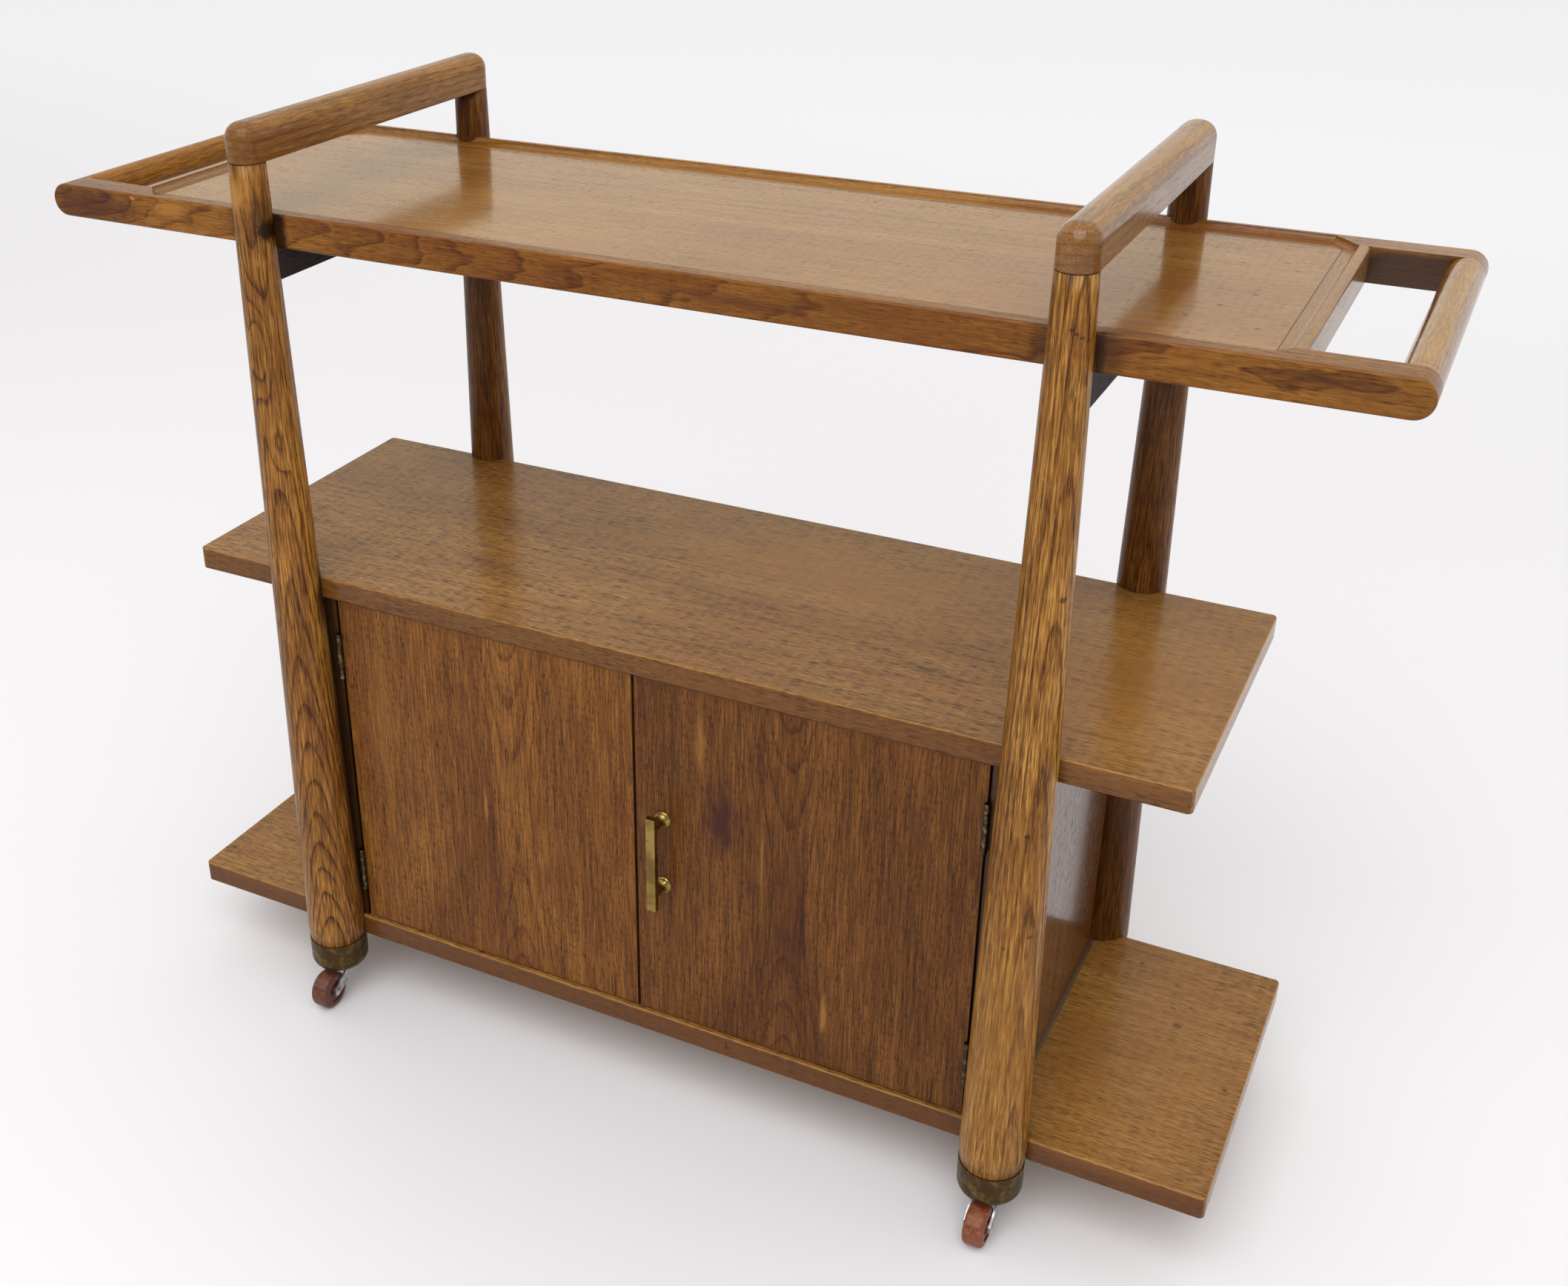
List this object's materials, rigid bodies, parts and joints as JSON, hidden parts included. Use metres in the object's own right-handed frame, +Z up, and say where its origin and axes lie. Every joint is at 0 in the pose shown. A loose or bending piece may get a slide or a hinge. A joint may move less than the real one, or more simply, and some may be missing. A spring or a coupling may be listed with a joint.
{
  "type": "bar cart",
  "caption": "Wooden bar cart with a handled tray, open shelves, a cabinet with hinged doors, round tapered legs with brass ferrules, and swivel casters.",
  "frame": {"origin": "on the floor under the middle of the cart", "axes": "+X along the cart to its right end, +Y from the doors to the back, +Z up"},
  "size_m": [1.26, 0.455, 0.9695],
  "materials": {
    "leg_wood": "open-grained golden brown, satin lacquer",
    "bar_wood": "medium brown, satin lacquer",
    "rail_wood": "reddish brown, satin lacquer",
    "handle_wood": "golden brown, glossy from handling",
    "panel_wood": "light brown, satin lacquer",
    "bearer_wood": "dark stain, matt",
    "shelf_wood": "tan brown, satin lacquer",
    "case_wood": "brown, satin lacquer",
    "door_wood": "reddish brown, satin lacquer",
    "hinge_brass": "darkened, worn bright on the knuckles",
    "pull_brass": "aged",
    "ferrule_brass": "dull and streaked",
    "caster_steel": "zinc plated",
    "wheel_composition": "worn red brown composition",
    "catch_plastic": "brown"
  },
  "bodies": {
    "base": {"arch_bar_left": "bar_wood", "arch_bar_right": "bar_wood", "bearer_left": "bearer_wood", "bearer_right": "bearer_wood", "bottom_shelf": "shelf_wood", "case_back": "case_wood", "case_side_left": "case_wood", "case_side_right": "case_wood", "case_stile_left": "case_wood", "case_stile_right": "case_wood", "caster_socket_front_left": "caster_steel", "caster_socket_front_right": "caster_steel", "caster_socket_rear_left": "caster_steel", "caster_socket_rear_right": "caster_steel", "door_catch": "catch_plastic", "ferrule_front_left": "ferrule_brass", "ferrule_front_right": "ferrule_brass", "ferrule_rear_left": "ferrule_brass", "ferrule_rear_right": "ferrule_brass", "hinge_leaves_case_left": "hinge_brass", "hinge_leaves_case_right": "hinge_brass", "hinge_pins_left": "hinge_brass", "hinge_pins_right": "hinge_brass", "leg_front_left": "leg_wood", "leg_front_right": "leg_wood", "leg_rear_left": "leg_wood", "leg_rear_right": "leg_wood", "middle_shelf": "shelf_wood", "tray_end_left": "rail_wood", "tray_end_right": "rail_wood", "tray_handle_left": "handle_wood", "tray_handle_right": "handle_wood", "tray_panel": "panel_wood", "tray_rail_front": "rail_wood", "tray_rail_rear": "rail_wood"},
    "left_door": {"door_left": "door_wood", "hinge_leaves_door_left": "hinge_brass", "strike_left": "caster_steel"},
    "right_door": {"door_right": "door_wood", "hinge_leaves_door_right": "hinge_brass", "strike_right": "caster_steel", "pull_bar": "pull_brass", "pull_feet": "pull_brass"},
    "fork_front_left": {"caster_fork_front_left": "caster_steel", "caster_axle_front_left": "caster_steel"},
    "wheel_front_left": {"caster_wheel_front_left": "wheel_composition"},
    "fork_front_right": {"caster_fork_front_right": "caster_steel", "caster_axle_front_right": "caster_steel"},
    "wheel_front_right": {"caster_wheel_front_right": "wheel_composition"},
    "fork_rear_left": {"caster_fork_rear_left": "caster_steel", "caster_axle_rear_left": "caster_steel"},
    "wheel_rear_left": {"caster_wheel_rear_left": "wheel_composition"},
    "fork_rear_right": {"caster_fork_rear_right": "caster_steel", "caster_axle_rear_right": "caster_steel"},
    "wheel_rear_right": {"caster_wheel_rear_right": "wheel_composition"}
  },
  "joints": [
    {"name": "left_door_hinge", "type": "hinge", "parent": "base", "child": "left_door", "pos_m": [-0.342, -0.1689, 0.3016], "axis": [0, 0, -1], "range_deg": [0, 110]},
    {"name": "right_door_hinge", "type": "hinge", "parent": "base", "child": "right_door", "pos_m": [0.342, -0.1689, 0.3016], "axis": [0, 0, 1], "range_deg": [0, 110]},
    {"name": "swivel_front_left", "type": "hinge", "parent": "base", "child": "fork_front_left", "pos_m": [-0.3775, -0.1805, 0.0415], "axis": [0, 0, 1], "continuous": true},
    {"name": "roll_front_left", "type": "hinge", "parent": "fork_front_left", "child": "wheel_front_left", "pos_m": [-0.3775, -0.207, 0.0205], "axis": [1, 0, 0], "continuous": true},
    {"name": "swivel_front_right", "type": "hinge", "parent": "base", "child": "fork_front_right", "pos_m": [0.3775, -0.1805, 0.0415], "axis": [0, 0, 1], "continuous": true},
    {"name": "roll_front_right", "type": "hinge", "parent": "fork_front_right", "child": "wheel_front_right", "pos_m": [0.3775, -0.207, 0.0205], "axis": [1, 0, 0], "continuous": true},
    {"name": "swivel_rear_left", "type": "hinge", "parent": "base", "child": "fork_rear_left", "pos_m": [-0.3775, 0.1805, 0.0415], "axis": [0, 0, 1], "continuous": true},
    {"name": "roll_rear_left", "type": "hinge", "parent": "fork_rear_left", "child": "wheel_rear_left", "pos_m": [-0.3775, 0.207, 0.0205], "axis": [1, 0, 0], "continuous": true},
    {"name": "swivel_rear_right", "type": "hinge", "parent": "base", "child": "fork_rear_right", "pos_m": [0.3775, 0.1805, 0.0415], "axis": [0, 0, 1], "continuous": true},
    {"name": "roll_rear_right", "type": "hinge", "parent": "fork_rear_right", "child": "wheel_rear_right", "pos_m": [0.3775, 0.207, 0.0205], "axis": [1, 0, 0], "continuous": true}
  ]
}
